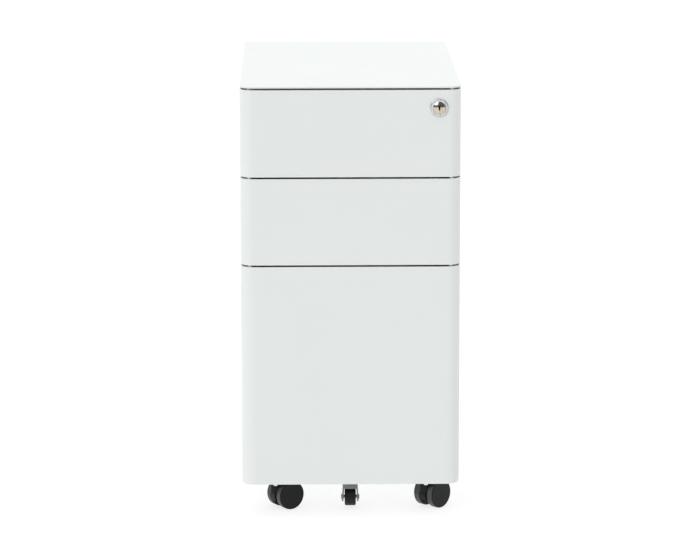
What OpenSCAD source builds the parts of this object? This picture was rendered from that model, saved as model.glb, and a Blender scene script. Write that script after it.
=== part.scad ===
// Slim mobile drawer pedestal in folded sheet steel: two box drawers over one filing drawer,
// with one lock for all three, four twin-wheel castors and an anti-tilt wheel under the filing drawer.
// X runs across the front, +Y to the back and +Z up, from the middle of the footprint on the floor.
// Sizes are in millimetres.

/* [Cabinet] */
// Width over the sides and over the drawer fronts
cabinet_w = 300; // [280:1:420]
// Depth from the face of the drawer fronts to the back
cabinet_d = 500; // [480:1:700]
// Height from the floor to the top
cabinet_h = 600; // [500:1:760]
// Radius of the upright front corners
corner_r = 18; // [10:1:24]
// Thickness of the top plate
top_t = 2; // [1:0.5:4]
// Thickness of the folded sheet
sheet_t = 1; // [0.8:0.1:1.4]
// Outer radius of a tight bend in the sheet
bend_r = 3; // [2:0.5:5]
// Width of the edges folded inwards on the panels
flange_w = 14; // [8:1:20]
// How far the fronts and sides hang below the base
skirt_h = 6; // [4:1:12]

/* [Drawer fronts] */
// Depth that a front wraps back along the sides
front_d = 30; // [26:1:40]
// Height of a box drawer's front
box_front_h = 119; // [95:1:145]
// Gap between two fronts, and under the top plate
front_gap = 2.5; // [1.5:0.5:4]
// How far a front's cap lies below its top edge
cap_drop = 6; // [2:1:12]
// Outer radius of the bend along the filing drawer's bottom edge
foot_bend_r = 2.5; // [1.5:0.5:4]
// Width of a front's inward return, which the fingers pull on
return_w = 10; // [6:1:12]
// Depth of the finger groove from the side of the cabinet
grip_depth = 14; // [12:1:20]
// Width of the finger groove from front to back
grip_w = 24; // [20:1:32]

/* [Trays and slides] */
// Length of a tray
tray_l = 420; // [380:1:450]
// Height of the filing tray's rim below the top edge of its front
file_rim_drop = 44; // [35:1:80]
// Width of the safe edge rolled along a tray's rim
rim_w = 3; // [2:0.5:5]
// Length of a slide
slide_l = 400; // [360:1:430]
// Thickness of a slide, from the post to the tray
slide_t = 12.7; // [12:0.1:16]
// Height of a box drawer's slide
box_slide_h = 35; // [30:1:42]
// Height of the filing drawer's slide
file_slide_h = 45; // [40:1:54]
// Thickness of a slide's steel
rail_t = 1.2; // [1:0.1:1.5]
// Room for the balls between two slide members
ball_gap = 3; // [2.5:0.1:3.6]
// Distance between the bars that hanging files hook over
file_bar_pitch = 330; // [310:1:360]

/* [Lock] */
// Distance of the lock's axis from the right side
lock_inset = 30; // [28:1:50]
// Distance of the lock's axis below the top
lock_drop = 29; // [27:1:40]
// Diameter of the lock's bezel
bezel_d = 25; // [22:0.5:30]
// Diameter of the lock's barrel
barrel_d = 20; // [19:0.5:24]
// Diameter of the plug's face
plug_face_d = 17.3; // [15:0.1:18]
// Diameter of the plug inside the barrel
plug_d = 13.9; // [11:0.1:14.5]
// Distance of the cam's pin from the lock's axis
cam_r = 9; // [8:0.5:10]
// Thickness of the lock bar
bar_t = 2; // [1.5:0.5:3]

/* [Castors] */
// Diameter of a castor's wheels
wheel_d = 40; // [32:1:50]
// Width of one wheel
wheel_w = 10.5; // [8:0.5:14]
// Thickness of the web between the two wheels
web_w = 12; // [11:0.5:16]
// Distance of the wheels' axle behind the swivel axis
trail = 16; // [12:1:20]
// Diameter of the axle
axle_d = 5; // [4:0.5:8]
// Diameter of the stem that a castor swivels on
swivel_d = 7; // [5:0.5:8]
// Height of the base above the wheels
neck_h = 12; // [10:1:20]
// Distance of the swivel axes from the sides
castor_inset_x = 46; // [44:1:60]
// Distance of the swivel axes from the front and back
castor_inset_y = 46; // [41:1:70]
// Direction in which each castor trails, in degrees from +X
front_left_turn = 33; // [0:1:360]
front_right_turn = 46; // [0:1:360]
rear_left_turn = 62; // [0:1:360]
rear_right_turn = 41; // [0:1:360]

/* [Anti-tilt wheel] */
// Diameter of the anti-tilt wheel
tilt_wheel_d = 25; // [20:1:28]
// Width of the anti-tilt wheel
tilt_wheel_w = 15.5; // [12:0.5:22]
// Height of the anti-tilt wheel above the floor
tilt_clear = 3; // [2:0.5:6]
// Distance of its axle behind the face of the front
tilt_inset = 51; // [44:1:70]
// Thickness of the fork's cheeks
fork_t = 2; // [1.5:0.5:3]
// How far each cheek splays outwards, in degrees
fork_splay = 3; // [0:1:5]

/* [Hidden] */
$fn = 64;

// Finishes
PAINT = [0.89, 0.9, 0.89];
ZINC = [0.72, 0.73, 0.74];
CHROME = [0.85, 0.85, 0.86];
BLACK = [0.09, 0.09, 0.09];

// Clearances
run_fit = 0.05;      // round a turning shaft, each side
slack = 0.3;         // between pieces that move past each other
panel_gap = 2;       // behind a closed front, before the carcass
eps = 0.1;           // how far a cut runs past a face

// The envelope
half_w = cabinet_w / 2;
front_y = -cabinet_d / 2;
back_y = cabinet_d / 2;
base_z = wheel_d + neck_h;
skirt_z = base_z - skirt_h;
panel_z = cabinet_h - top_t;

// The fronts, each as [bottom, top]
top_front = [panel_z - front_gap - box_front_h, panel_z - front_gap];
middle_front = [top_front[0] - front_gap - box_front_h, top_front[0] - front_gap];
file_front = [skirt_z, middle_front[0] - front_gap];
liner_setback = 3;
liner_y = front_y + front_d - liner_setback;
liner_x = half_w - grip_depth - panel_gap;
liner_foot = 5;
hem_l = 6;
hem_h = cap_drop - 1;
foot_d = 6.5;
foot_tip_d = 5;
foot_h = 2.3;
foot_setback = 6;

// The carcass
post_y = liner_y + panel_gap;
side_y = front_y + front_d + grip_w;
post_x = half_w - grip_depth;
bay_x = post_x - sheet_t;
header_h = 10;
header_d = 20;
rear_post_y = 150;
rear_post_w = 25;
rear_post_clear = 1;
base_lip = 8;
rivet_d = 6;
rivet_top_d = 4;
rivet_h = 1.2;
rivet_count = 6;
rivet_inset = 40;

// The trays, each as [bottom, rim]
nut_wall = 1.5;
nut_af = barrel_d + 2 * nut_wall;
nut_r = nut_af / sqrt(3);
lock_x = half_w - lock_inset;
lock_z = cabinet_h - lock_drop;
tray_x = bay_x - slide_t;
tray_foot = 9.5;
tray_lift = 12;
rim_clear = 1.7;
box_rim_drop = top_front[1] - lock_z + nut_r + rim_clear;
top_tray = [top_front[0] + tray_foot, top_front[1] - box_rim_drop];
middle_tray = [middle_front[0] + tray_foot, middle_front[1] - box_rim_drop];
file_tray = [base_z + tray_lift, file_front[1] - file_rim_drop];
rim_h = 4;
screw_d = 8;
screw_top_d = 5.5;
screw_h = 2;
screw_inset = 22;
screw_low = 12;
screw_high = 18;
file_bar_t = 3;
file_bar_h = 14;
file_bar_inset = 26;

// The slides, by the height of their lower edge
slide_setback = 1;
slide_y = post_y + slide_setback;
box_slide_lift = 4;
file_slide_lift = 60;
top_slide_z = top_tray[0] + box_slide_lift;
middle_slide_z = middle_tray[0] + box_slide_lift;
file_slide_z = file_tray[0] + file_slide_lift;
slide_lip = 1;
side_gap = 2.5;
middle_gap = 1.4;
outer_w = slide_t - side_gap;
middle_w = slide_t - rail_t - middle_gap - side_gap;

// The catches and the lock bar
catch_lift = 20;
catch_d = 6;
catch_l = 8.7;
catch_flange_d = 8;
catch_flange_t = 1.5;
top_catch_z = top_slide_z + box_slide_h + catch_lift;
middle_catch_z = middle_slide_z + box_slide_h + catch_lift;
file_catch_z = file_slide_z + file_slide_h + catch_lift;
bar_side_gap = 3;
bar_front_gap = 5;
bar_x = bay_x + bar_side_gap;
bar_y = side_y + sheet_t + bar_front_gap;
bar_w = 20;
cam_angle = 45;
bar_travel = 2 * cam_r * sin(cam_angle);
tab_h = 13;
tab_foot = 4;
tab_setback = 4;
tab_tray_gap = 4;
tab_y = bar_y + tab_setback;
tab_reach = bar_x - tray_x - tab_tray_gap;
catch_gap = 1.5;
catch_y = tab_y + bar_t + catch_gap + catch_d / 2;
stud_d = 5;
stud_head_d = 10;
stud_head_t = 1.5;
stud_heights = [(file_catch_z + middle_catch_z) / 2, (middle_catch_z + top_catch_z) / 2];

// The lock, along Y
bezel_h = 2;
bezel_edge_r = 1;
dome_h = 2.2;
nut_t = 3.2;
barrel_end = liner_y + nut_t + slack;
cam_t = 2;
cam_gap = 1;
cam_y = barrel_end + cam_gap;
cam_hub_d = 14;
pin_d = 4;
pin_l = 5.5;
cam_eye_d = 6;
tail_w = 7;
tail_proud = 1;
fork_gap = 2.5;
fork_y = cam_y + cam_t + fork_gap;
fork_plate_t = 2;
fork_wall = 5;
pin_slot_h = 5;
pin_x = lock_x + cam_r * cos(cam_angle);
pin_z = lock_z + cam_r * sin(cam_angle);
key_slot_w = 3;
key_slot_foot = 1.4;
key_slot_h = 6.6;
key_slot_deep = 9;
face_t = 1.6;

// A castor, with its swivel axis on Z and its wheels trailing along +X
wheel_r = wheel_d / 2;
wheel_gap = 0.6;
wheel_in = web_w / 2 + wheel_gap;
hood_gap = 0.8;
hood_t = 1.8;
hood_recess = 1.6;
hood_half_w = wheel_in + wheel_w - hood_recess;
guard_r = wheel_r + hood_gap + hood_t;
guard_low = wheel_r * 1.7;
web_low = wheel_r * 0.6;
boss_r = 8;
boss_floor = 3;
tread_r = 1.4;
rim_r = wheel_r * 0.66;
rim_w_back = wheel_w * 0.55;
collar_h = 4;
collar_af = 13;
thread_d = 8;
castor_nut_h = 5;
castor_nut_af = 13;
thread_proud = 1;
hood_top = base_z - collar_h - slack;
stem_floor = 6;
swivel_low = wheel_r + stem_floor;
wheel_face_t = 2.5;
axle_reach = wheel_w - wheel_face_t;
castor_x = half_w - castor_inset_x;
castor_y = cabinet_d / 2 - castor_inset_y;

// The anti-tilt wheel
tilt_y = front_y + tilt_inset;
tilt_z = tilt_clear + tilt_wheel_d / 2;
tilt_side_gap = 1.5;
tilt_half_w = tilt_wheel_w / 2 + tilt_side_gap + fork_t;
tilt_plate_t = 3;
tilt_axle_d = 5;
tilt_head_d = 7.5;
tilt_head_t = 1.25;
tilt_head_x = tilt_half_w + tilt_head_d / 2 * tan(fork_splay) + run_fit;
tilt_edge_r = 2;
cheek_r = 7;
cheek_half_l = 10;
lip_rise = 1;
lip_z = tilt_z + tilt_wheel_d / 2 + lip_rise;

// ---- Helpers ----

// Its children, and their mirror image on the other side
module both_sides() {
    children();
    mirror([1, 0, 0]) children();
}

// A block between its lowest and highest corners
module block(lo, hi) {
    translate(lo) cube(hi - lo);
}

// An outline in X and Z, run from y0 to y1
module along_y(y0, y1) {
    translate([0, y1, 0]) rotate([90, 0, 0]) linear_extrude(y1 - y0) children();
}

// A round bar along Y
module bar_y(x, z, y0, y1, d) {
    translate([x, y0, z]) rotate([-90, 0, 0]) cylinder(h = y1 - y0, d = d);
}

// A round bar along X
module bar_x(y, z, x0, x1, d) {
    translate([x0, y, z]) rotate([0, 90, 0]) cylinder(h = x1 - x0, d = d);
}

// A rectangle with round corners
module round_rect(lo, hi, r) {
    translate([lo[0] + r, lo[1]]) square([hi[0] - lo[0] - 2 * r, hi[1] - lo[1]]);
    translate([lo[0], lo[1] + r]) square([hi[0] - lo[0], hi[1] - lo[1] - 2 * r]);
    for (x = [lo[0] + r, hi[0] - r], y = [lo[1] + r, hi[1] - r]) translate([x, y]) circle(r);
}

// The cabinet's front outline seen from above, shrunk by inset and running back to y1
module front_plan(inset, y1) {
    flat_w = half_w - corner_r;
    intersection() {
        union() {
            translate([-flat_w, front_y + inset]) square([2 * flat_w, y1 - front_y - inset]);
            translate([-half_w + inset, front_y + corner_r])
                square([2 * (half_w - inset), y1 - front_y - corner_r]);
            for (side = [-1, 1])
                translate([side * flat_w, front_y + corner_r]) circle(corner_r - inset);
        }
        translate([-half_w, front_y]) square([cabinet_w, y1 - front_y]);
    }
}

// ---- Carcass ----

module top_panel() {
    color(PAINT) translate([0, 0, panel_z]) linear_extrude(top_t) {
        front_plan(0, 0);
        round_rect([-half_w, -bend_r], [half_w, back_y], bend_r);
    }
}

// Right side: a sheet with its front, back, top and bottom edges folded inwards
module side_panel() {
    rear_flange_x = half_w - flange_w;
    color(PAINT) {
        translate([0, 0, skirt_z]) linear_extrude(panel_z - skirt_z) difference() {
            round_rect([0, side_y], [half_w, back_y], bend_r);
            round_rect([sheet_t, side_y + sheet_t], [half_w - sheet_t, back_y - sheet_t], bend_r - sheet_t);
            translate([-eps, side_y - eps]) square([post_x + eps, sheet_t + bend_r + eps]);
            translate([-eps, side_y - eps]) square([rear_flange_x + eps, cabinet_d]);
        }
        for (z = [skirt_z, panel_z - sheet_t])
            block([rear_flange_x, side_y + 2 * sheet_t, z],
                  [half_w - sheet_t, back_y - sheet_t, z + sheet_t]);
    }
}

// Back: a flat sheet between the bends of the side panels
module back_panel() {
    edge_x = half_w - bend_r;
    color(PAINT) block([-edge_x, back_y - 2 * sheet_t, skirt_z + sheet_t],
                       [edge_x, back_y - sheet_t, panel_z - sheet_t]);
}

module back_rivets() {
    low = skirt_z + rivet_inset;
    pitch = (panel_z - rivet_inset - low) / (rivet_count - 1);
    color(ZINC) both_sides() for (i = [0 : rivet_count - 1])
        translate([half_w - flange_w / 2, back_y, low + i * pitch]) rotate([-90, 0, 0])
            cylinder(h = rivet_h, d1 = rivet_d, d2 = rivet_top_d);
}

// Base: a shallow tray with its edges turned up, which carries the castors
module base_panel() {
    first_y = post_y + panel_gap;
    end_y = back_y - 2 * sheet_t;
    side_x = half_w - sheet_t;
    corner_x = half_w - bend_r;
    wide_y = [side_y + bend_r, back_y - bend_r];
    top_z = base_z + sheet_t;
    lip_z = top_z + base_lip;
    color(PAINT) difference() {
        union() {
            block([-bay_x, first_y, base_z], [bay_x, end_y, top_z]);
            block([-side_x, wide_y[0], base_z], [side_x, wide_y[1], top_z]);
            block([-bay_x, first_y, base_z], [bay_x, first_y + sheet_t, lip_z]);
            block([-corner_x, end_y - sheet_t, base_z], [corner_x, end_y, lip_z]);
            both_sides() block([side_x - sheet_t, wide_y[0], base_z], [side_x, wide_y[1], lip_z]);
        }
        for (x = [-castor_x, castor_x], y = [-castor_y, castor_y])
            translate([x, y, base_z - eps]) cylinder(h = sheet_t + 2 * eps, d = thread_d + slack);
    }
}

// Header: a channel across the front under the top plate
module header_rail() {
    low = panel_z - header_h;
    color(PAINT) {
        block([-bay_x, post_y, low], [bay_x, post_y + sheet_t, panel_z]);
        block([-bay_x, post_y + header_d - sheet_t, low], [bay_x, post_y + header_d, panel_z]);
        block([-bay_x, post_y, panel_z - sheet_t], [bay_x, post_y + header_d, panel_z]);
    }
}

// Right front post: the inner wall of the finger groove, lapped behind the side panel
module front_post() {
    lap_y = side_y + sheet_t;
    color(PAINT) {
        translate([0, 0, skirt_z]) linear_extrude(panel_z - skirt_z) {
            translate([bay_x, post_y]) square([sheet_t, lap_y + sheet_t - post_y]);
            translate([bay_x, post_y]) square([2 * sheet_t, hem_l]);
            translate([bay_x, lap_y]) square([half_w - bend_r - bay_x, sheet_t]);
        }
    }
}

// Rear posts: channels that carry the back ends of the slides
module rear_posts() {
    low = base_z + sheet_t + base_lip + rear_post_clear;
    color(ZINC) both_sides() translate([0, 0, low])
        linear_extrude(panel_z - sheet_t - rear_post_clear - low) {
            translate([bay_x, rear_post_y]) square([sheet_t, rear_post_w]);
            for (y = [rear_post_y, rear_post_y + rear_post_w - sheet_t])
                translate([bay_x, y]) square([half_w - sheet_t - bay_x, sheet_t]);
        }
}

// ---- Slides ----

// One right-hand slide member: a web from x0 towards x1, with a flange along each edge
module slide_member(x0, x1, z0, z1, lip) {
    web = x0 < x1 ? [x0, x0 + rail_t] : [x0 - rail_t, x0];
    reach = [min(x0, x1), max(x0, x1)];
    tip = x0 < x1 ? [x1 - rail_t, x1] : [x1, x1 + rail_t];
    color(ZINC) along_y(slide_y, slide_y + slide_l) {
        translate([web[0], z0]) square([rail_t, z1 - z0]);
        for (z = [z0, z1 - rail_t]) translate([reach[0], z]) square([reach[1] - reach[0], rail_t]);
        if (lip > 0) {
            translate([tip[0], z0]) square([rail_t, rail_t + lip]);
            translate([tip[0], z1 - rail_t - lip]) square([rail_t, rail_t + lip]);
        }
    }
}

// The outer members of one drawer's pair, on the posts
module slide_outers(z0, h) {
    both_sides() slide_member(bay_x, bay_x - outer_w, z0, z0 + h, slide_lip);
}

// The inner members of one drawer's pair, on the tray, inside one or two others of depth room
module slide_inners(z0, h, steps, room) {
    edge = steps * (rail_t + ball_gap);
    both_sides() slide_member(tray_x, bay_x - room - side_gap, z0 + edge, z0 + h - edge, 0);
}

// The members between the filing drawer's outer and inner ones, which travel half as far as the drawer
module file_slide_middles() {
    edge = rail_t + ball_gap;
    web_x = bay_x - rail_t - middle_gap;
    low = file_slide_z + edge;
    both_sides()
        slide_member(web_x, web_x - middle_w, low, low + file_slide_h - 2 * edge, slide_lip);
}

// ---- Drawers ----

// The solid inside a front's outline, shrunk by inset, with its bottom edge rounded by r
module front_body(inset, y1, span, r) {
    flat_w = half_w - corner_r;
    centre_y = front_y + corner_r;
    if (r > 0) {
        z = span[0] + r;
        translate([0, 0, span[0]]) linear_extrude(r + eps) front_plan(inset + r, y1);
        translate([0, 0, z]) linear_extrude(span[1] - z) front_plan(inset, y1);
        bar_x(front_y + inset + r, z, -flat_w, flat_w, 2 * r);
        for (side = [-1, 1]) {
            bar_y(side * (half_w - inset - r), z, centre_y, y1, 2 * r);
            translate([side * flat_w, centre_y, z]) rotate([0, 0, side > 0 ? -90 : 180])
                rotate_extrude(angle = 90) translate([corner_r - inset - r, 0]) circle(r);
        }
    } else {
        translate([0, 0, span[0]]) linear_extrude(span[1] - span[0]) front_plan(inset, y1);
    }
}

// A front's outer skin, wrapped round both corners and returned inwards behind them.
// Its floor is bent in from the bottom edge with an outer radius of foot_r, and its top edge is hemmed.
module front_skin(span, foot_r = 0) {
    end_y = front_y + front_d;
    edge_x = half_w - return_w;
    inner_span = [span[0] + sheet_t, span[1] + eps];
    color(PAINT) {
        difference() {
            front_body(0, end_y, span, foot_r);
            front_body(sheet_t, end_y + eps, inner_span, max(foot_r - sheet_t, 0));
            block([-edge_x, liner_y, span[0] - eps], [edge_x, end_y + eps, inner_span[0] + eps]);
        }
        translate([0, 0, span[1] - hem_h]) linear_extrude(hem_h) difference() {
            front_plan(sheet_t / 2, end_y - sheet_t / 2);
            front_plan(2 * sheet_t, end_y);
        }
        both_sides() {
            block([edge_x, end_y - sheet_t, span[0] + foot_r], [half_w - sheet_t / 2, end_y, span[1]]);
            block([edge_x, end_y - hem_l, span[0] + sheet_t / 2], [edge_x + sheet_t, end_y, span[1]]);
        }
    }
}

// A front's liner: a pan behind the skin, with the cap that closes the top.
// Its corners stand back far enough to clear the skin's bend.
module front_liner(span) {
    low = span[0] + liner_foot;
    high = span[1] - cap_drop;
    flat_w = half_w - corner_r;
    edge_x = min(liner_x, flat_w);
    skin_y = front_y + sheet_t;
    corner_y = front_y + corner_r - sqrt(pow(corner_r - sheet_t, 2) - pow(liner_x - edge_x, 2)) + slack;
    color(PAINT) {
        block([-liner_x, liner_y - sheet_t, low], [liner_x, liner_y, high]);
        for (z = [low, high - sheet_t]) {
            block([-edge_x, skin_y, z], [edge_x, liner_y, z + sheet_t]);
            block([-liner_x, corner_y, z], [liner_x, liner_y, z + sheet_t]);
        }
        both_sides() block([liner_x - sheet_t, corner_y, low], [liner_x, liner_y, high]);
    }
}

// An open tray with a rolled rim
module tray(span) {
    y1 = liner_y + tray_l;
    color(PAINT) {
        difference() {
            block([-tray_x, liner_y, span[0]], [tray_x, y1, span[1]]);
            block([-tray_x + sheet_t, liner_y + sheet_t, span[0] + sheet_t],
                  [tray_x - sheet_t, y1 - sheet_t, span[1] + eps]);
        }
        difference() {
            block([-tray_x, liner_y, span[1] - rim_h], [tray_x, y1, span[1]]);
            block([-tray_x + rim_w, liner_y + rim_w, span[1] - rim_h - eps],
                  [tray_x - rim_w, y1 - rim_w, span[1] + eps]);
        }
    }
}

// The pan-head screws that hold a tray to its liner
module tray_screws(span, rows) {
    low = span[0] + screw_low;
    pitch = (span[1] - screw_high - low) / (rows - 1);
    color(ZINC) both_sides() for (i = [0 : rows - 1])
        translate([tray_x - screw_inset, liner_y + sheet_t, low + i * pitch]) rotate([-90, 0, 0])
            cylinder(h = screw_h, d1 = screw_d, d2 = screw_top_d);
}

// The stud on a tray's right side that the lock bar holds back
module catch(z) {
    color(ZINC) {
        bar_x(catch_y, z, tray_x, tray_x + catch_l, catch_d);
        bar_x(catch_y, z, tray_x, tray_x + catch_flange_t, catch_flange_d);
    }
}

// The top drawer's skin and liner have a hole for the lock
module top_drawer_front() {
    difference() {
        front_skin(top_front);
        color(PAINT) bar_y(lock_x, lock_z, front_y - eps, front_y + sheet_t + eps, barrel_d + slack);
    }
}

module top_drawer_liner() {
    difference() {
        front_liner(top_front);
        color(PAINT) bar_y(lock_x, lock_z, liner_y - sheet_t - eps, liner_y + eps, barrel_d + slack);
    }
}

// The filing drawer's skin has two small feet pressed into its bottom edge
module file_drawer_front() {
    front_skin(file_front, foot_bend_r);
    color(PAINT) for (x = [-castor_x, castor_x])
        translate([x, front_y + foot_setback, file_front[0] - foot_h])
            cylinder(h = foot_h + sheet_t / 2, d1 = foot_tip_d, d2 = foot_d);
}

// The bars across the filing tray that hanging files hook over
module file_hanging_bars() {
    first_y = liner_y + file_bar_inset;
    color(ZINC) for (y = [first_y, first_y + file_bar_pitch]) {
        block([-tray_x + rim_w, y, file_tray[1] - file_bar_h],
              [tray_x - rim_w, y + file_bar_t, file_tray[1] + file_bar_t]);
        block([-tray_x, y, file_tray[1]], [tray_x, y + file_bar_t, file_tray[1] + file_bar_t]);
    }
}

// ---- Lock ----

// The barrel, with a flat bezel round a recess for the plug's face
module lock_barrel() {
    face_y = front_y - bezel_h;
    seat_d = plug_face_d + 2 * run_fit;
    color(CHROME) difference() {
        union() {
            bar_y(lock_x, lock_z, front_y, barrel_end, barrel_d);
            translate([lock_x, front_y, lock_z]) rotate([90, 0, 0]) rotate_extrude() intersection() {
                round_rect([-bezel_d / 2, -bezel_h], [bezel_d / 2, bezel_h], bezel_edge_r);
                square([bezel_d, bezel_d]);
            }
        }
        bar_y(lock_x, lock_z, face_y - eps, barrel_end + eps, plug_d + 2 * run_fit);
        bar_y(lock_x, lock_z, face_y - eps, face_y + face_t + slack, seat_d);
    }
}

// The nut behind the liner, turned so that a flat faces the post beside it
module lock_nut() {
    color(ZINC) difference() {
        translate([lock_x, liner_y, lock_z]) rotate([-90, 30, 0]) cylinder(h = nut_t, r = nut_r, $fn = 6);
        bar_y(lock_x, lock_z, liner_y - eps, liner_y + nut_t + eps, barrel_d);
    }
}

// The plug, with a domed face
module lock_plug() {
    face_y = front_y - bezel_h + slack;
    tail_end = cam_y + cam_t + tail_proud;
    face_r = plug_face_d / 2;
    dome_r = (face_r * face_r + dome_h * dome_h) / (2 * dome_h);
    color(CHROME) difference() {
        union() {
            bar_y(lock_x, lock_z, face_y, front_y - bezel_h + face_t, plug_face_d);
            bar_y(lock_x, lock_z, face_y, barrel_end, plug_d);
            translate([lock_x, face_y, lock_z]) rotate([90, 0, 0]) rotate_extrude() intersection() {
                translate([0, dome_h - dome_r]) circle(dome_r);
                square([face_r, dome_h]);
            }
            block([lock_x - tail_w / 2, barrel_end - eps, lock_z - tail_w / 2],
                  [lock_x + tail_w / 2, tail_end, lock_z + tail_w / 2]);
        }
        key_slot(face_y);
    }
}

// The key slot: a round-topped slot that narrows towards its foot
module key_slot(face_y) {
    top_z = key_slot_h / 2 - key_slot_w / 2;
    along_y(face_y - dome_h - eps, face_y + key_slot_deep) translate([lock_x, lock_z]) {
        translate([0, top_z]) circle(key_slot_w / 2);
        polygon([[-key_slot_w / 2, top_z], [key_slot_w / 2, top_z],
                 [key_slot_foot / 2, -key_slot_h / 2], [-key_slot_foot / 2, -key_slot_h / 2]]);
    }
}

// The cam, with the pin that moves the lock bar
module lock_cam() {
    cam_end = cam_y + cam_t;
    color(ZINC) {
        difference() {
            union() {
                bar_y(lock_x, lock_z, cam_y, cam_end, cam_hub_d);
                bar_y(pin_x, pin_z, cam_y, cam_end, cam_eye_d);
                translate([lock_x, cam_y, lock_z]) rotate([0, -cam_angle, 0])
                    block([0, 0, -cam_eye_d / 2], [cam_r, cam_t, cam_eye_d / 2]);
            }
            block([lock_x - tail_w / 2, cam_y - eps, lock_z - tail_w / 2],
                  [lock_x + tail_w / 2, cam_end + eps, lock_z + tail_w / 2]);
        }
        bar_y(pin_x, pin_z, cam_end, cam_end + pin_l, pin_d);
    }
}

// Lock bar: an upright strip by the right-hand slides. A slotted arm at its top follows the cam's pin,
// and a tab drops in front of each drawer's catch.
module lock_bar() {
    low = file_catch_z - tab_h / 2 + bar_travel;
    high = pin_z + pin_slot_h / 2 + fork_wall;
    arm_low = pin_z - pin_slot_h / 2 - fork_wall;
    arm_x = bay_x - slack - bar_t;
    bar_end = bar_x + bar_t;
    arm_end = bar_y + bar_t;
    fork_end = fork_y + fork_plate_t;
    slot_end = lock_x + cam_r + pin_d / 2 + slack;
    stud_y = bar_y + bar_w / 2;
    slot_d = stud_d + 2 * slack;
    color(ZINC) difference() {
        union() {
            block([bar_x, bar_y, low], [bar_end, bar_y + bar_w, high]);
            for (z = [file_catch_z, middle_catch_z, top_catch_z])
                translate([0, 0, z - tab_foot + bar_travel])
                    block([bar_x - tab_reach, tab_y, 0], [bar_end, tab_y + bar_t, tab_h]);
            block([arm_x, bar_y, arm_low], [bar_end, arm_end, high]);
            block([arm_x, fork_y, arm_low], [arm_x + bar_t, arm_end, high]);
            block([pin_x - pin_d, fork_y, arm_low], [arm_x + bar_t, fork_end, high]);
        }
        block([pin_x - pin_d - eps, fork_y - eps, pin_z - pin_slot_h / 2],
              [slot_end, fork_end + eps, pin_z + pin_slot_h / 2]);
        for (z = stud_heights) {
            for (rise = [0, bar_travel]) bar_x(stud_y, z + rise, bar_x - eps, bar_end + eps, slot_d);
            block([bar_x - eps, stud_y - slot_d / 2, z],
                  [bar_end + eps, stud_y + slot_d / 2, z + bar_travel]);
        }
    }
}

// The headed studs on the side panel that the lock bar slides on
module lock_bar_studs() {
    y = bar_y + bar_w / 2;
    color(ZINC) for (z = stud_heights) {
        bar_x(y, z, bar_x + bar_t + slack, half_w - sheet_t, stud_head_d);
        bar_x(y, z, bar_x - slack, half_w - sheet_t, stud_d);
        bar_x(y, z, bar_x - slack - stud_head_t, bar_x - slack, stud_head_d);
    }
}

// ---- Castors ----

// The four castors: [x, y, turn]
CASTORS = [
    [-castor_x, -castor_y, front_left_turn],
    [castor_x, -castor_y, front_right_turn],
    [-castor_x, castor_y, rear_left_turn],
    [castor_x, castor_y, rear_right_turn]
];

module place_castor(c) {
    translate([CASTORS[c][0], CASTORS[c][1], 0]) rotate([0, 0, CASTORS[c][2]]) children();
}

// A disc across the castor, round the wheels' axle
module axle_disc(y0, y1, r) {
    translate([trail, y0, wheel_r]) rotate([-90, 0, 0]) cylinder(h = y1 - y0, r = r);
}

// Hood: the web between the wheels, the mudguard over them and the boss round the stem
module castor_hood(c) {
    color(BLACK) place_castor(c) difference() {
        union() {
            difference() {
                axle_disc(-hood_half_w, hood_half_w, guard_r);
                axle_disc(-hood_half_w - eps, hood_half_w + eps, wheel_r + hood_gap);
                block([trail - guard_r - eps, -hood_half_w - eps, -guard_r],
                      [trail + guard_r + eps, hood_half_w + eps, guard_low]);
            }
            difference() {
                axle_disc(-web_w / 2, web_w / 2, guard_r - hood_t / 2);
                block([-guard_r, -web_w, -guard_r], [trail + 2 * guard_r, web_w, web_low]);
            }
            difference() {
                translate([0, 0, swivel_low - boss_floor])
                    cylinder(h = hood_top - swivel_low + boss_floor, r = boss_r);
                for (y = [-boss_r - web_w / 2, web_w / 2]) axle_disc(y, y + boss_r, wheel_r + hood_gap);
            }
        }
        translate([0, 0, swivel_low]) cylinder(h = hood_top, d = swivel_d + 2 * run_fit);
        axle_disc(-web_w, web_w, axle_d / 2);
    }
}

module castor_axle(c) {
    reach = wheel_in + axle_reach;
    color(ZINC) place_castor(c) axle_disc(-reach, reach, axle_d / 2);
}

// One wheel: a plain disc with a rounded edge and a hollow back
module castor_wheel(c, side) {
    color(BLACK) place_castor(c) translate([trail, side * wheel_in, wheel_r]) rotate([-90 * side, 0, 0])
        difference() {
            rotate_extrude() difference() {
                intersection() {
                    round_rect([-wheel_r, 0], [wheel_r, wheel_w], tread_r);
                    square([wheel_r, wheel_w]);
                }
                translate([axle_d, -eps]) square([rim_r - axle_d, rim_w_back]);
            }
            translate([0, 0, -eps]) cylinder(h = axle_reach + slack + eps, d = axle_d + 2 * run_fit);
        }
}

// The stems that the castors swivel on, screwed up through the base
module castor_stems() {
    color(ZINC) for (c = [0 : 3]) translate([CASTORS[c][0], CASTORS[c][1], 0]) {
        translate([0, 0, swivel_low + slack]) cylinder(h = base_z - swivel_low - slack, d = swivel_d);
        translate([0, 0, base_z - collar_h]) cylinder(h = collar_h, d = collar_af / cos(30), $fn = 6);
        translate([0, 0, base_z]) cylinder(h = sheet_t + castor_nut_h + thread_proud, d = thread_d);
    }
}

module castor_nuts() {
    color(ZINC) for (c = [0 : 3]) translate([CASTORS[c][0], CASTORS[c][1], base_z + sheet_t])
        difference() {
            cylinder(h = castor_nut_h, d = castor_nut_af / cos(30), $fn = 6);
            translate([0, 0, -eps]) cylinder(h = castor_nut_h + 2 * eps, d = thread_d);
        }
}

// ---- Anti-tilt wheel ----

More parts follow.
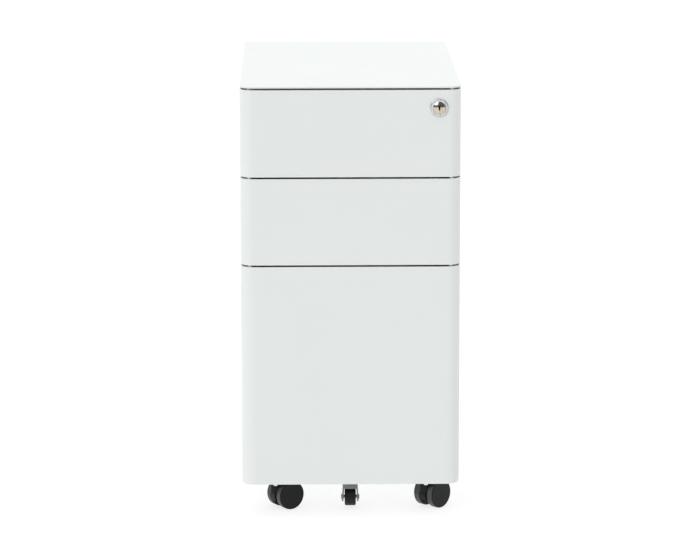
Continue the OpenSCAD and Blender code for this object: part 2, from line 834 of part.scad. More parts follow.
// Fork: a plate on the filing drawer's bottom edge, folded down in front of the wheel and on both sides
module anti_tilt_fork() {
    plate_z = skirt_z + sheet_t;
    drop = plate_z - tilt_z;
    top_half_w = tilt_half_w - drop * tan(fork_splay);
    lip_y = tilt_y - cheek_half_l;
    color(ZINC) difference() {
        union() {
            block([-top_half_w, front_y + foot_setback, plate_z],
                  [top_half_w, tilt_y + cheek_half_l, plate_z + tilt_plate_t]);
            block([-top_half_w, lip_y, lip_z], [top_half_w, lip_y + fork_t, plate_z + eps]);
            both_sides() translate([tilt_half_w - fork_t, tilt_y, tilt_z])
                rotate([0, -fork_splay, 0]) rotate([90, 0, 90]) linear_extrude(fork_t) {
                    circle(cheek_r);
                    polygon([[-cheek_r, 0], [cheek_r, 0], [cheek_half_l, drop + tilt_plate_t / 2],
                             [-cheek_half_l, drop + tilt_plate_t / 2],
                             [-cheek_half_l, lip_z - tilt_z]]);
                }
        }
        bar_x(tilt_y, tilt_z, -tilt_head_x, tilt_head_x, tilt_axle_d + 2 * run_fit);
    }
}

// Axle, riveted over outside the sloping cheeks
module anti_tilt_axle() {
    color(ZINC) {
        bar_x(tilt_y, tilt_z, -tilt_head_x - tilt_head_t, tilt_head_x + tilt_head_t, tilt_axle_d);
        both_sides() bar_x(tilt_y, tilt_z, tilt_head_x, tilt_head_x + tilt_head_t, tilt_head_d);
    }
}

module anti_tilt_wheel() {
    r = tilt_wheel_d / 2;
    half = tilt_wheel_w / 2;
    color(BLACK) translate([0, tilt_y, tilt_z]) rotate([0, 90, 0]) difference() {
        rotate_extrude() intersection() {
            round_rect([-r, -half], [r, half], tilt_edge_r);
            translate([0, -half]) square([r, tilt_wheel_w]);
        }
        translate([0, 0, -half - eps])
            cylinder(h = tilt_wheel_w + 2 * eps, d = tilt_axle_d + 2 * run_fit);
    }
}

// ---- Nodes ----

top_panel();
mirror([1, 0, 0]) side_panel();  // left_side_panel
side_panel();  // right_side_panel
back_panel();
base_panel();
header_rail();
mirror([1, 0, 0]) front_post();  // left_front_post
front_post();  // right_front_post
rear_posts();
back_rivets();
slide_outers(top_slide_z, box_slide_h);  // top_slide_outers
slide_outers(middle_slide_z, box_slide_h);  // middle_slide_outers
slide_outers(file_slide_z, file_slide_h);  // file_slide_outers
lock_bar();
lock_bar_studs();
castor_stems();
castor_nuts();
top_drawer_front();
top_drawer_liner();
tray(top_tray);  // top_drawer_tray
slide_inners(top_slide_z, box_slide_h, 1, rail_t);  // top_slide_inners
catch(top_catch_z);  // top_drawer_catch
tray_screws(top_tray, 2);  // top_drawer_screws
front_skin(middle_front);  // middle_drawer_front
front_liner(middle_front);  // middle_drawer_liner
tray(middle_tray);  // middle_drawer_tray
slide_inners(middle_slide_z, box_slide_h, 1, rail_t);  // middle_slide_inners
catch(middle_catch_z);  // middle_drawer_catch
tray_screws(middle_tray, 2);  // middle_drawer_screws
file_drawer_front();
front_liner(file_front);  // file_drawer_liner
tray(file_tray);  // file_drawer_tray
file_slide_middles();
slide_inners(file_slide_z, file_slide_h, 2, 2 * rail_t + middle_gap);  // file_slide_inners
catch(file_catch_z);  // file_drawer_catch
tray_screws(file_tray, 3);  // file_drawer_screws
file_hanging_bars();
anti_tilt_fork();
anti_tilt_axle();
anti_tilt_wheel();
lock_barrel();
lock_nut();
lock_plug();
lock_cam();
castor_hood(0);  // front_left_hood
castor_axle(0);  // front_left_axle
castor_wheel(0, 1);  // front_left_wheel_a
castor_wheel(0, -1);  // front_left_wheel_b
castor_hood(1);  // front_right_hood
castor_axle(1);  // front_right_axle
castor_wheel(1, 1);  // front_right_wheel_a
castor_wheel(1, -1);  // front_right_wheel_b
castor_hood(2);  // rear_left_hood
castor_axle(2);  // rear_left_axle
castor_wheel(2, 1);  // rear_left_wheel_a
castor_wheel(2, -1);  // rear_left_wheel_b
castor_hood(3);  // rear_right_hood
castor_axle(3);  // rear_right_axle
castor_wheel(3, 1);  // rear_right_wheel_a
castor_wheel(3, -1);  // rear_right_wheel_b
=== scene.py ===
# Looks, lights and camera for a slim mobile drawer pedestal in white powder-coated sheet steel
import math

import bmesh
import bpy
from bpy.props import FloatProperty, FloatVectorProperty, PointerProperty
from mathutils import Matrix, Vector


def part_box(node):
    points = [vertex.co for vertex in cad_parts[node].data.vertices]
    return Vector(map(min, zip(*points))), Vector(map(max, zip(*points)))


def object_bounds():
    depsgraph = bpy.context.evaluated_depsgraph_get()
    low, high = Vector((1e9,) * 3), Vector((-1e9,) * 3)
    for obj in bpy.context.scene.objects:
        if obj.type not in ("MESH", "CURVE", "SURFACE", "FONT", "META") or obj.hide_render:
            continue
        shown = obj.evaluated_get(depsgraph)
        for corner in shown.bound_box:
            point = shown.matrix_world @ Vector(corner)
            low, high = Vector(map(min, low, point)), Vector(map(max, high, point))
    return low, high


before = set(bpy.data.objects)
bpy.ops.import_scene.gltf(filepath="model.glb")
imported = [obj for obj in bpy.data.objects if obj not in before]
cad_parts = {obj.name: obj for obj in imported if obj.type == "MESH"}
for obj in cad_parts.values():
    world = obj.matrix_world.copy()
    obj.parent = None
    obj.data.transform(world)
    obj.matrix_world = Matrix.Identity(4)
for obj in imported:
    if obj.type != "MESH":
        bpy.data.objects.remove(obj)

bl_info = {
    "name": "Drawer pedestal",
    "version": (1, 0, 0),
    "blender": (4, 5, 0),
    "location": "3D View > Sidebar > Pedestal",
    "description": "Finishes, lights and camera for a slim mobile drawer pedestal",
    "category": "Object",
}

MM = 0.001
LENS_MM = 163.47
SENSOR_MM = 36
# where the camera stands, in metres from the middle, the fronts and the floor, and how it turns
CAMERA_PLACE = Vector((-0.073, -4.2537, 1.1816))
CAMERA_YAW = math.radians(0.971)
CAMERA_PITCH = math.radians(11.172)
CAMERA_ROLL = math.radians(-0.047)
FLOOR_RADIUS = 40
FLOOR_DROP = 0.2 * MM
# the part of the floor's colour that answers the lights; the rest of its brightness is its glow
FLOOR_ALBEDO = 0.25
# cosines between the surface and its bevel where the coat starts to thin, and where it is thinnest
EDGE_STARTS, EDGE_ENDS = 0.98, 0.80
# each softbox's name, width and turns about X, Y and Z, in degrees
SOFTBOXES = (("overhead", 75, (4, 4, 0)), ("key", 34, (55, 0, -32)))
CASTORS = ("front_left", "front_right", "rear_left", "rear_right")
CARCASS = (
    "top_panel", "left_side_panel", "right_side_panel", "back_panel", "base_panel",
    "header_rail", "left_front_post", "right_front_post",
)
FRONTS = tuple(f"{drawer}_drawer_front" for drawer in ("top", "middle", "file"))
LINERS = tuple(f"{drawer}_drawer_liner" for drawer in ("top", "middle", "file"))
TRAYS = tuple(f"{drawer}_drawer_tray" for drawer in ("top", "middle", "file"))
SLIDES = (
    "top_slide_outers", "top_slide_inners", "middle_slide_outers", "middle_slide_inners",
    "file_slide_outers", "file_slide_middles", "file_slide_inners", "rear_posts",
)
ZINC_STAMPINGS = ("lock_bar", "lock_bar_studs", "lock_cam", "file_hanging_bars")
FASTENERS = (
    "back_rivets", "castor_stems", "castor_nuts", "lock_nut",
    "top_drawer_screws", "middle_drawer_screws", "file_drawer_screws",
    "top_drawer_catch", "middle_drawer_catch", "file_drawer_catch",
)

CAD_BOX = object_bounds()


def linear(hex_colour):
    """An sRGB hex colour as the linear red, green and blue that the shaders take."""
    channels = [int(hex_colour[i:i + 2], 16) / 255 for i in (1, 3, 5)]
    return tuple(c / 12.92 if c <= 0.04045 else ((c + 0.055) / 1.055) ** 2.4 for c in channels)


# ---- Sizes and colours that can be set ----


class PaintSettings(bpy.types.PropertyGroup):
    """The powder coat on the carcass and the drawers"""
    colour: FloatVectorProperty(
        name="Colour", description="Colour of the powder coat", subtype="COLOR", size=3,
        min=0, max=1, default=linear("#EBEFED"))
    roughness: FloatProperty(
        name="Roughness", description="Roughness of the satin coat", subtype="FACTOR",
        min=0, max=1, default=0.42)
    peel: FloatProperty(
        name="Peel size", description="Width of one dimple of the orange peel", subtype="DISTANCE",
        unit="LENGTH", min=0.0005, max=0.01, default=1.8 * MM)
    edge: FloatProperty(
        name="Edge width", description="Width of the band where the coat thins at an edge",
        subtype="DISTANCE", unit="LENGTH", min=0.0001, max=0.005, default=0.9 * MM)


class SteelSettings(bpy.types.PropertyGroup):
    """The plated steel and the lock"""
    zinc_colour: FloatVectorProperty(
        name="Zinc", description="Colour of bright zinc plating", subtype="COLOR", size=3,
        min=0, max=1, default=linear("#C3C6C8"))
    dark_colour: FloatVectorProperty(
        name="Dark zinc", description="Colour of the dull zinc on the anti-tilt fork",
        subtype="COLOR", size=3, min=0, max=1, default=linear("#7C7E79"))
    brass_colour: FloatVectorProperty(
        name="Yellow zinc", description="Colour of the yellow plating on the anti-tilt axle",
        subtype="COLOR", size=3, min=0, max=1, default=linear("#A39A7C"))
    nickel_colour: FloatVectorProperty(
        name="Nickel", description="Colour of the nickel plating on the lock's plug",
        subtype="COLOR", size=3, min=0, max=1, default=linear("#C9C9C5"))
    # painted reflection: a warm colour painted on the plug's lower half in place of the floor's
    # reflection
    lower_reflection_colour: FloatVectorProperty(
        name="Rubbed nickel", description="Warm colour where keys have rubbed the plug's nickel",
        subtype="COLOR", size=3, min=0, max=1, default=linear("#D6C8B4"))
    chrome_colour: FloatVectorProperty(
        name="Chrome", description="Colour of the chrome plating on the lock's barrel",
        subtype="COLOR", size=3, min=0, max=1, default=linear("#CDD0CE"))
    # grease and painted shade: the key slot is painted darker the deeper it lies below the dome
    keyway_grease_shade_colour: FloatVectorProperty(
        name="Keyway", description="Colour of the old grease inside the key slot",
        subtype="COLOR", size=3, min=0, max=1, default=linear("#191816"))
    dome: FloatProperty(
        name="Dome", description="Height of the dome on the plug's face", subtype="DISTANCE",
        unit="LENGTH", min=0.0005, max=0.005, default=2.2 * MM)
    spangle: FloatProperty(
        name="Spangle size", description="Width of one crystal of the galvanising",
        subtype="DISTANCE", unit="LENGTH", min=0.001, max=0.05, default=9 * MM)


class CastorSettings(bpy.types.PropertyGroup):
    """The castors' nylon"""
    colour: FloatVectorProperty(
        name="Colour", description="Colour of the moulded nylon", subtype="COLOR", size=3,
        min=0, max=1, default=linear("#101111"))
    # painted sheen: a lighter grey painted on the wheels' treads in place of the light they catch
    tread_sheen_colour: FloatVectorProperty(
        name="Tread", description="Colour of the treads where the floor has scuffed them",
        subtype="COLOR", size=3, min=0, max=1, default=linear("#74766F"))
    grain: FloatProperty(
        name="Grain size", description="Width of the moulded grain", subtype="DISTANCE",
        unit="LENGTH", min=0.0001, max=0.005, default=0.7 * MM)


class StageSettings(bpy.types.PropertyGroup):
    """The floor, the room and the lights"""
    floor_colour: FloatVectorProperty(
        name="Floor", description="Colour of the studio floor", subtype="COLOR", size=3,
        min=0, max=1, default=linear("#FAFAFA"))
    glow: FloatProperty(
        name="Glow", description="Light that comes up through the floor", subtype="FACTOR",
        min=0, max=2, default=0.82)
    backdrop: FloatProperty(
        name="Backdrop", description="Brightness of the white wall that the camera sees", min=0,
        max=5, default=1.0)
    wall: FloatProperty(
        name="Wall light", description="Light that the wall behind the object gives", min=0,
        max=5, default=0.88)
    room: FloatProperty(
        name="Room", description="Brightness of the dim room behind the camera", min=0, max=5,
        default=0.16)
    overhead: FloatProperty(
        name="Overhead", description="Strength of the overhead softbox", min=0, max=20, default=1.26)
    key: FloatProperty(
        name="Key", description="Strength of the softbox at the front left", min=0, max=20,
        default=1.04)


class PedestalSettings(bpy.types.PropertyGroup):
    """All the settings together"""
    paint: PointerProperty(type=PaintSettings)
    steel: PointerProperty(type=SteelSettings)
    castor: PointerProperty(type=CastorSettings)
    stage: PointerProperty(type=StageSettings)


# ---- Shader helpers ----


def add(tree, kind, values=None, links=None, **settings):
    """Adds a node of that kind: settings are its own, values go on its inputs, links feed them."""
    made = tree.nodes.new(kind)
    for name, value in settings.items():
        setattr(made, name, value)
    for socket, value in (values or {}).items():
        made.inputs[socket].default_value = value
    for socket, source in (links or {}).items():
        tree.links.new(source, made.inputs[socket])
    return made


def new_material(name):
    """An empty material with its output node, and that output's tree."""
    material = bpy.data.materials.new(name)
    material.use_nodes = True
    material.node_tree.nodes.clear()
    return material, material.node_tree


def finish_material(tree, shader):
    """Links the shader to the output that is rendered."""
    out = add(tree, "ShaderNodeOutputMaterial", links={"Surface": shader.outputs["BSDF"]})
    out.is_active_output = True


def edge_mask(tree, width):
    """1 at a sharp edge and 0 beyond width of it, from how far a bevel would turn the surface."""
    own = add(tree, "ShaderNodeNewGeometry")
    bevel = add(tree, "ShaderNodeBevel", {"Radius": width}, samples=6)
    same = add(tree, "ShaderNodeVectorMath", operation="DOT_PRODUCT", links={
        0: own.outputs["Normal"], 1: bevel.outputs["Normal"]})
    return add(tree, "ShaderNodeMapRange", {"From Min": EDGE_STARTS, "From Max": EDGE_ENDS},
               {"Value": same.outputs["Value"]}).outputs["Result"]


def give_finish(nodes, material):
    """Puts this material on the CAD nodes, in place of all they had."""
    for name in nodes:
        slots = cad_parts[name].data.materials
        slots.clear()
        slots.append(material)


# ---- Materials ----


def make_powder_coat(name, paint):
    """Polyester powder coat, sprayed and baked on sheet steel: satin white with a faint orange peel,
    slightly uneven gloss, and a thinner, greyer coat along every sharp edge."""
    material, tree = new_material(name)
    place = add(tree, "ShaderNodeTexCoord").outputs["Object"]
    colour = tuple(paint.colour)
    drift = add(tree, "ShaderNodeTexNoise", {"Scale": 1 / (90 * MM), "Detail": 3.0},
                {"Vector": place})
    coat = add(tree, "ShaderNodeMix", {6: (*[c * 0.985 for c in colour], 1),
                                       7: (*[min(c * 1.012, 1) for c in colour], 1)},
               {0: drift.outputs["Fac"]}, data_type="RGBA")
    edge = edge_mask(tree, paint.edge)
    thin = add(tree, "ShaderNodeMath", {1: 0.35}, {0: edge}, operation="MULTIPLY")
    worn = add(tree, "ShaderNodeMix", {7: (*[c * 0.86 for c in colour], 1)},
               {0: thin.outputs[0], 6: coat.outputs[2]}, data_type="RGBA")
    smudge = add(tree, "ShaderNodeTexNoise", {"Scale": 1 / (35 * MM), "Detail": 5.0},
                 {"Vector": place})
    gloss = add(tree, "ShaderNodeMapRange", {
        "To Min": paint.roughness - 0.05, "To Max": paint.roughness + 0.07},
        {"Value": smudge.outputs["Fac"]})
    peel = add(tree, "ShaderNodeTexNoise", {"Scale": 1 / paint.peel, "Detail": 1.5},
               {"Vector": place})
    bump = add(tree, "ShaderNodeBump", {"Strength": 0.35, "Distance": 0.03 * MM},
               {"Height": peel.outputs["Fac"]})
    shader = add(tree, "ShaderNodeBsdfPrincipled", {"IOR": 1.5}, {
        "Base Color": worn.outputs[2], "Roughness": gloss.outputs["Result"],
        "Normal": bump.outputs["Normal"]})
    finish_material(tree, shader)
    return material


def make_zinc(name, colour, spangle, roughness, contrast):
    """Zinc on steel, hot-dipped or electroplated: crystals or a faint cloud a few millimetres wide,
    which differ in tone and gloss, under a slightly uneven skin."""
    material, tree = new_material(name)
    place = add(tree, "ShaderNodeTexCoord").outputs["Object"]
    crystals = add(tree, "ShaderNodeTexVoronoi", {"Scale": 1 / spangle, "Randomness": 1.0},
                   {"Vector": place})
    tone = add(tree, "ShaderNodeSeparateColor", links={"Color": crystals.outputs["Color"]})
    shade = add(tree, "ShaderNodeMix", {
        6: (*[c * (1 - contrast) for c in colour], 1),
        7: (*[min(c * (1 + contrast), 1) for c in colour], 1)},
        {0: tone.outputs["Red"]}, data_type="RGBA")
    dull = add(tree, "ShaderNodeTexNoise", {"Scale": 1 / (6 * MM), "Detail": 4.0},
               {"Vector": place})
    both = add(tree, "ShaderNodeMath", links={0: dull.outputs["Fac"], 1: tone.outputs["Green"]},
               operation="ADD")
    gloss = add(tree, "ShaderNodeMapRange", {
        "From Min": 0.3, "From Max": 1.7, "To Min": roughness - 0.08, "To Max": roughness + 0.12},
        {"Value": both.outputs[0]})
    bump = add(tree, "ShaderNodeBump", {"Strength": 0.3, "Distance": 0.02 * MM},
               {"Height": dull.outputs["Fac"]})
    shader = add(tree, "ShaderNodeBsdfPrincipled", {"Metallic": 1.0}, {
        "Base Color": shade.outputs[2], "Roughness": gloss.outputs["Result"],
        "Normal": bump.outputs["Normal"]})
    finish_material(tree, shader)
    return material


def make_bright_plate(name, colour, middle, lower_reflection=None, keyway_grease_shade=None):
    """Nickel or chrome plate over polished die-cast zinc: sharp reflections with fine turned lines
    round the lock's axis and a little handling haze. The lower reflection colour is a painted
    reflection, a warm tint on the lower half of the face in place of the floor's reflection. Old
    grease and painted shade darken the keyway below the plug's dome, the deeper the darker; the last
    argument gives them as (colour, dome's centre, dome's radius)."""
    material, tree = new_material(name)
    place = add(tree, "ShaderNodeTexCoord").outputs["Object"]
    centred = add(tree, "ShaderNodeVectorMath", {1: middle}, {0: place}, operation="SUBTRACT")
    flat = add(tree, "ShaderNodeVectorMath", {1: (1, 0, 1)}, {0: centred.outputs[0]},
               operation="MULTIPLY")
    radius = add(tree, "ShaderNodeVectorMath", links={0: flat.outputs[0]}, operation="LENGTH")
    # turned lines 0.35 mm apart, which is coarser than the real ones so that they show close up
    turned = add(tree, "ShaderNodeMath", {1: math.tau / (0.35 * MM)},
                 {0: radius.outputs["Value"]}, operation="MULTIPLY")
    wave = add(tree, "ShaderNodeMath", links={0: turned.outputs[0]}, operation="SINE")
    marks = add(tree, "ShaderNodeTexNoise", {"Scale": 1 / (2.5 * MM), "Detail": 5.0},
                {"Vector": place})
    # key scratches run up and down the face, drawn 1.8 mm apart so that they show
    upright = add(tree, "ShaderNodeVectorMath", {1: (1, 1, 0.08)}, {0: place},
                  operation="MULTIPLY")
    scratches = add(tree, "ShaderNodeTexNoise", {"Scale": 1 / (1.8 * MM), "Detail": 2.0},
                    {"Vector": upright.outputs[0]})
    shade = add(tree, "ShaderNodeMapRange", {
        "From Min": 0.35, "From Max": 0.65, "To Min": 0.78, "To Max": 1.08},
        {"Value": scratches.outputs["Fac"]})
    height = add(tree, "ShaderNodeSeparateXYZ", links={0: centred.outputs[0]})
    # painted reflection: the lower half of the face is tinted warm in place of the floor's
    # reflection
    low = add(tree, "ShaderNodeMapRange", {"From Min": 1.5 * MM, "From Max": -0.5 * MM},
              {"Value": height.outputs["Z"]})
    plate = add(tree, "ShaderNodeMix", {6: (*colour, 1), 7: (*(lower_reflection or colour), 1)},
                {0: low.outputs["Result"]}, data_type="RGBA")
    tint = add(tree, "ShaderNodeVectorMath", links={
        0: plate.outputs[2], 1: shade.outputs["Result"]}, operation="MULTIPLY").outputs[0]
    gloss = add(tree, "ShaderNodeMapRange", {"To Min": 0.07, "To Max": 0.2},
                {"Value": marks.outputs["Fac"]}).outputs["Result"]
    # grease and painted shade: the keyway darkens the deeper it lies below the dome's face
    if keyway_grease_shade:
        grease_and_shade, centre, dome_r = keyway_grease_shade
        away = add(tree, "ShaderNodeVectorMath", {1: centre}, {0: place}, operation="DISTANCE")
        shade_depth = add(tree, "ShaderNodeMapRange", {
            "From Min": dome_r - 0.08 * MM, "From Max": dome_r - 0.7 * MM},
            {"Value": away.outputs["Value"]}).outputs["Result"]
        tint = add(tree, "ShaderNodeMix", {7: (*grease_and_shade, 1)}, {0: shade_depth, 6: tint},
                   data_type="RGBA").outputs[2]
        gloss = add(tree, "ShaderNodeMix", {3: 0.6}, {0: shade_depth, 2: gloss}).outputs[0]
    bump = add(tree, "ShaderNodeBump", {"Strength": 0.12, "Distance": 0.01 * MM},
               {"Height": wave.outputs[0]})
    shader = add(tree, "ShaderNodeBsdfPrincipled", {"Metallic": 1.0}, {
        "Base Color": tint, "Roughness": gloss, "Normal": bump.outputs["Normal"]})
    finish_material(tree, shader)
    return material


def make_nylon(name, castor, centre=None, axle=None, sheen_amount=0.85):
    """Injection-moulded glass-filled nylon: near black with a fine grain. On a wheel, a painted
    sheen in lighter grey lies on the tread round its middle, and the face keeps faint turned rings
    from the mould."""
    material, tree = new_material(name)
    place = add(tree, "ShaderNodeTexCoord")
    # the real grain is about 0.2 mm wide; it is drawn coarser so that it shows close up
    grain = add(tree, "ShaderNodeTexNoise", {"Scale": 1 / castor.grain, "Detail": 2.0},
                {"Vector": place.outputs["Object"]})
    cloud = add(tree, "ShaderNodeTexNoise", {"Scale": 1 / (12 * MM), "Detail": 4.0},
                {"Vector": place.outputs["Object"]})
    colour = tuple(castor.colour)
    base = add(tree, "ShaderNodeMix", {6: (*[c * 0.8 for c in colour], 1),
                                       7: (*[c * 1.35 for c in colour], 1)},
               {0: cloud.outputs["Fac"]}, data_type="RGBA")
    tint = base.outputs[2]
    height = grain.outputs["Fac"]
    if axle:
        facing = add(tree, "ShaderNodeVectorMath", {1: axle}, {0: place.outputs["Normal"]},
                     operation="DOT_PRODUCT")
        sideways = add(tree, "ShaderNodeMath", links={0: facing.outputs["Value"]},
                       operation="ABSOLUTE")
        # painted sheen: the tread, which faces away from the axle, is painted lighter grey
        tread_sheen = add(tree, "ShaderNodeMapRange", {
            "From Min": 0.75, "From Max": 0.2, "To Min": 0.0, "To Max": sheen_amount},
            {"Value": sideways.outputs[0]})
        painted_sheen = add(tree, "ShaderNodeMath", links={
            0: tread_sheen.outputs["Result"], 1: cloud.outputs["Fac"]}, operation="MULTIPLY")
        tint = add(tree, "ShaderNodeMix", {7: (*castor.tread_sheen_colour, 1)},
                   {0: painted_sheen.outputs[0], 6: tint}, data_type="RGBA").outputs[2]
        arm = add(tree, "ShaderNodeVectorMath", {1: centre}, {0: place.outputs["Object"]},
                  operation="SUBTRACT")
        along = add(tree, "ShaderNodeVectorMath", {1: axle}, {0: arm.outputs[0]},
                    operation="PROJECT")
        across = add(tree, "ShaderNodeVectorMath", links={
            0: arm.outputs[0], 1: along.outputs[0]}, operation="SUBTRACT")
        radius = add(tree, "ShaderNodeVectorMath", links={0: across.outputs[0]},
                     operation="LENGTH")
        # the mould's turned rings are 1.1 mm apart
        turns = add(tree, "ShaderNodeMath", {1: math.tau / (1.1 * MM)},
                    {0: radius.outputs["Value"]}, operation="MULTIPLY")
        rings = add(tree, "ShaderNodeMath", links={0: turns.outputs[0]}, operation="SINE")
        height = add(tree, "ShaderNodeMath", {1: 0.35}, {
            0: rings.outputs[0], 2: height}, operation="MULTIPLY_ADD").outputs[0]
    gloss = add(tree, "ShaderNodeMapRange", {"To Min": 0.34, "To Max": 0.56},
                {"Value": cloud.outputs["Fac"]})
    bump = add(tree, "ShaderNodeBump", {"Strength": 0.35, "Distance": 0.04 * MM},
               {"Height": height})
    shader = add(tree, "ShaderNodeBsdfPrincipled", {"IOR": 1.53, "Specular IOR Level": 0.22}, {
        "Base Color": tint, "Roughness": gloss.outputs["Result"],
        "Normal": bump.outputs["Normal"]})
    finish_material(tree, shader)
    return material


# ---- Operators ----


class PEDESTAL_OT_carcass(bpy.types.Operator):
    """Coat the top, sides, back, base and posts"""
    bl_idname = "pedestal.carcass"
    bl_label = "Carcass"

    def execute(self, context):
        paint = context.scene.pedestal.paint
        give_finish(CARCASS, make_powder_coat("powder_coated_carcass", paint))
        return {"FINISHED"}


class PEDESTAL_OT_drawers(bpy.types.Operator):
    """Coat the drawer fronts, their liners and the trays"""
    bl_idname = "pedestal.drawers"
    bl_label = "Drawers"

    def execute(self, context):
        paint = context.scene.pedestal.paint
        give_finish(FRONTS + LINERS + TRAYS, make_powder_coat("powder_coated_drawers", paint))
        return {"FINISHED"}


class PEDESTAL_OT_slides(bpy.types.Operator):
    """Galvanise the slides and the rear posts"""
    bl_idname = "pedestal.slides"
    bl_label = "Slides"

    def execute(self, context):
        steel = context.scene.pedestal.steel
        galvanised = make_zinc("hot_dip_galvanised_steel", steel.zinc_colour,
                               spangle=steel.spangle, roughness=0.38, contrast=0.14)
        give_finish(SLIDES, galvanised)
        return {"FINISHED"}


class PEDESTAL_OT_fittings(bpy.types.Operator):
    """Zinc-plate the lock bar, the hanging bars, the screws, nuts, rivets, stems and catches"""
    bl_idname = "pedestal.fittings"
    bl_label = "Fittings"

    def execute(self, context):
        steel = context.scene.pedestal.steel
        plated = make_zinc("bright_zinc_plated_steel", steel.zinc_colour,
                           spangle=3 * MM, roughness=0.26, contrast=0.05)
        give_finish(ZINC_STAMPINGS + FASTENERS, plated)
        return {"FINISHED"}


class PEDESTAL_OT_lock(bpy.types.Operator):
    """Plate the lock's barrel in chrome and its plug in nickel"""
    bl_idname = "pedestal.lock"
    bl_label = "Lock"

    def execute(self, context):
        steel = context.scene.pedestal.steel
        low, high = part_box("lock_plug")
        middle = (low + high) / 2
        face_r = (high.x - low.x) / 2
        dome_r = (face_r ** 2 + steel.dome ** 2) / (2 * steel.dome)
        centre = Vector((middle.x, low.y + dome_r, middle.z))
        keyway_grease_shade = (tuple(steel.keyway_grease_shade_colour), centre, dome_r)
        nickel = make_bright_plate("polished_nickel_plate", steel.nickel_colour, middle,
                                   steel.lower_reflection_colour, keyway_grease_shade)
        chrome = make_bright_plate("polished_chrome_plate", steel.chrome_colour, middle)
        give_finish(["lock_plug"], nickel)
        give_finish(["lock_barrel"], chrome)
        return {"FINISHED"}


class PEDESTAL_OT_castors(bpy.types.Operator):
    """Mould the castors' hoods and wheels in black nylon, and plate their axles"""
    bl_idname = "pedestal.castors"
    bl_label = "Castors"

    def execute(self, context):
        settings = context.scene.pedestal
        castor, steel = settings.castor, settings.steel
        give_finish([f"{name}_hood" for name in CASTORS], make_nylon("moulded_nylon_hood", castor))
        plated = make_zinc("zinc_plated_axle", steel.zinc_colour,
                           spangle=3 * MM, roughness=0.3, contrast=0.05)
        give_finish([f"{name}_axle" for name in CASTORS], plated)
        for name in CASTORS:
            wheels = [f"{name}_wheel_a", f"{name}_wheel_b"]
            centres = [sum(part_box(wheel), Vector()) / 2 for wheel in wheels]
            axle = (centres[1] - centres[0]).normalized()
            nylon = make_nylon(f"moulded_nylon_wheel_{name}", castor, centres[0], axle)
            give_finish(wheels, nylon)
        return {"FINISHED"}


class PEDESTAL_OT_anti_tilt(bpy.types.Operator):
    """Finish the anti-tilt wheel, its fork and its axle"""
    bl_idname = "pedestal.anti_tilt"
    bl_label = "Anti-tilt wheel"

    def execute(self, context):
        settings = context.scene.pedestal
        castor, steel = settings.castor, settings.steel
        centre = sum(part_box("anti_tilt_wheel"), Vector()) / 2
        # it rarely touches the floor; its tread gets only a faint painted sheen
        nylon = make_nylon("moulded_nylon_anti_tilt", castor, centre, Vector((1, 0, 0)), sheen_amount=0.06)
        dull = make_zinc("dull_zinc_plated_steel", steel.dark_colour,
                         spangle=4 * MM, roughness=0.42, contrast=0.08)
        yellow = make_zinc("yellow_zinc_plated_steel", steel.brass_colour,
                           spangle=2 * MM, roughness=0.3, contrast=0.06)
        give_finish(["anti_tilt_wheel"], nylon)
        give_finish(["anti_tilt_fork"], dull)
        give_finish(["anti_tilt_axle"], yellow)
        return {"FINISHED"}


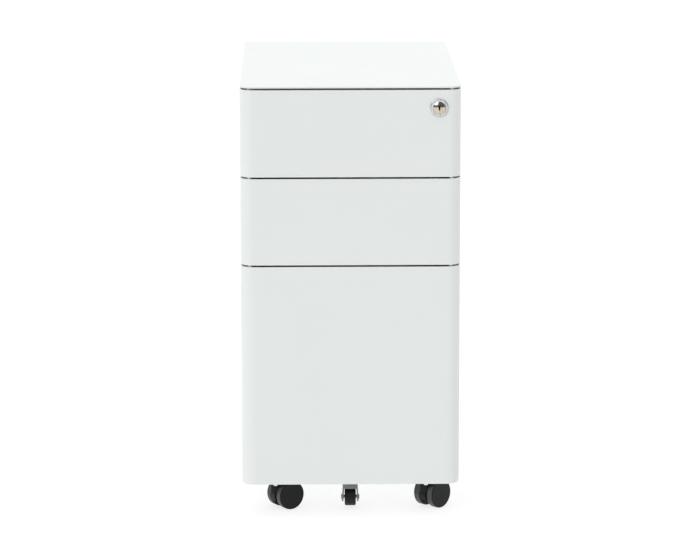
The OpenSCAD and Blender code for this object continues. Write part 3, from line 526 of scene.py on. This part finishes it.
class PEDESTAL_OT_stage(bpy.types.Operator):
    """Make the floor, the lights, the room and the camera"""
    bl_idname = "pedestal.stage"
    bl_label = "Stage"

    def execute(self, context):
        scene = context.scene
        stage = scene.pedestal.stage
        self.make_camera(scene)
        self.make_floor(scene, stage)
        self.make_lights(scene, stage)
        self.make_room(scene, stage)
        scene.view_settings.view_transform = "Standard"
        scene.view_settings.look = "None"
        return {"FINISHED"}

    def make_camera(self, scene):
        """A long lens, a little above the top and nearly square to the fronts."""
        centre_x = (CAD_BOX[0].x + CAD_BOX[1].x) / 2
        front_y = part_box("file_drawer_front")[0].y
        reach = math.cos(CAMERA_PITCH)
        ahead = Vector((math.sin(CAMERA_YAW) * reach, math.cos(CAMERA_YAW) * reach,
                        -math.sin(CAMERA_PITCH)))
        level = Vector((math.cos(CAMERA_YAW), -math.sin(CAMERA_YAW), 0))
        above = level.cross(ahead)
        right = level * math.cos(CAMERA_ROLL) + above * math.sin(CAMERA_ROLL)
        up = above * math.cos(CAMERA_ROLL) - level * math.sin(CAMERA_ROLL)
        camera = bpy.data.cameras.new("camera")
        camera.lens = LENS_MM
        camera.sensor_width = SENSOR_MM
        camera.clip_end = 60
        shown = bpy.data.objects.new("camera", camera)
        turn = Matrix((right, up, -ahead)).transposed().to_4x4()
        place = Vector((centre_x, front_y, 0)) + CAMERA_PLACE
        shown.matrix_world = Matrix.Translation(place) @ turn
        scene.collection.objects.link(shown)
        scene.camera = shown

    def make_floor(self, scene, stage):
        """A plain pale floor, large enough to fill every view."""
        made = bmesh.new()
        bmesh.ops.create_circle(made, cap_ends=True, segments=96, radius=FLOOR_RADIUS)
        mesh = bpy.data.meshes.new("floor")
        made.to_mesh(mesh)
        made.free()
        floor = bpy.data.objects.new("floor", mesh)
        floor.location.z = -FLOOR_DROP
        scene.collection.objects.link(floor)
        material, tree = new_material("matt_studio_floor")
        place = add(tree, "ShaderNodeTexCoord").outputs["Object"]
        cloud = add(tree, "ShaderNodeTexNoise", {"Scale": 2.0, "Detail": 2.0}, {"Vector": place})
        gloss = add(tree, "ShaderNodeMapRange", {"To Min": 0.8, "To Max": 0.9},
                    {"Value": cloud.outputs["Fac"]})
        shader = add(tree, "ShaderNodeBsdfPrincipled", {
            "Base Color": (*[c * FLOOR_ALBEDO for c in stage.floor_colour], 1),
            "Specular IOR Level": 0.1,
            "Emission Color": (*stage.floor_colour, 1), "Emission Strength": stage.glow},
            {"Roughness": gloss.outputs["Result"]})
        finish_material(tree, shader)
        mesh.materials.append(material)

    def make_lights(self, scene, stage):
        """An overhead softbox and a weaker one at the front left."""
        for name, width, turns in SOFTBOXES:
            lamp = bpy.data.lights.new(name, "SUN")
            lamp.energy = getattr(stage, name)
            lamp.angle = math.radians(width)
            shown = bpy.data.objects.new(name, lamp)
            shown.rotation_euler = [math.radians(turn) for turn in turns]
            scene.collection.objects.link(shown)

    def make_room(self, scene, stage):
        """A white wall behind the object that fades to a dim room behind the camera."""
        world = bpy.data.worlds.new("room")
        world.use_nodes = True
        tree = world.node_tree
        tree.nodes.clear()
        way = add(tree, "ShaderNodeTexCoord").outputs["Generated"]
        parts = add(tree, "ShaderNodeSeparateXYZ", links={0: way})
        fade = add(tree, "ShaderNodeMapRange", {
            "From Min": -0.55, "From Max": 0.45, "To Min": stage.room, "To Max": stage.wall},
            {"Value": parts.outputs["Y"]}, interpolation_type="SMOOTHSTEP")
        room = add(tree, "ShaderNodeBackground", links={"Strength": fade.outputs["Result"]})
        shown = add(tree, "ShaderNodeBackground", {"Strength": stage.backdrop})
        for light in (room, shown):
            light.inputs["Color"].default_value = (1, 1, 1, 1)
        path = add(tree, "ShaderNodeLightPath")
        both = add(tree, "ShaderNodeMixShader", links={
            0: path.outputs["Is Camera Ray"], 1: room.outputs[0], 2: shown.outputs[0]})
        add(tree, "ShaderNodeOutputWorld", links={"Surface": both.outputs[0]})
        scene.world = world


class PEDESTAL_PT_panel(bpy.types.Panel):
    """The settings, and a button for each operator"""
    bl_label = "Drawer pedestal"
    bl_idname = "PEDESTAL_PT_panel"
    bl_space_type = "VIEW_3D"
    bl_region_type = "UI"
    bl_category = "Pedestal"

    def draw(self, context):
        settings = context.scene.pedestal
        for group in (settings.paint, settings.steel, settings.castor, settings.stage):
            box = self.layout.box()
            for name in group.__annotations__:
                box.prop(group, name)
        for operator in OPERATORS:
            self.layout.operator(operator.bl_idname)


SETTINGS = (PaintSettings, SteelSettings, CastorSettings, StageSettings, PedestalSettings)
OPERATORS = (
    PEDESTAL_OT_stage, PEDESTAL_OT_carcass, PEDESTAL_OT_drawers, PEDESTAL_OT_slides,
    PEDESTAL_OT_fittings, PEDESTAL_OT_lock, PEDESTAL_OT_castors, PEDESTAL_OT_anti_tilt,
)


def register():
    for cls in (*SETTINGS, *OPERATORS, PEDESTAL_PT_panel):
        bpy.utils.register_class(cls)
    bpy.types.Scene.pedestal = PointerProperty(type=PedestalSettings)


def unregister():
    del bpy.types.Scene.pedestal
    for cls in reversed((*SETTINGS, *OPERATORS, PEDESTAL_PT_panel)):
        bpy.utils.unregister_class(cls)


def main():
    register()
    for operator in OPERATORS:
        group, name = operator.bl_idname.split(".")
        getattr(getattr(bpy.ops, group), name)()


if __name__ == "__main__":
    main()
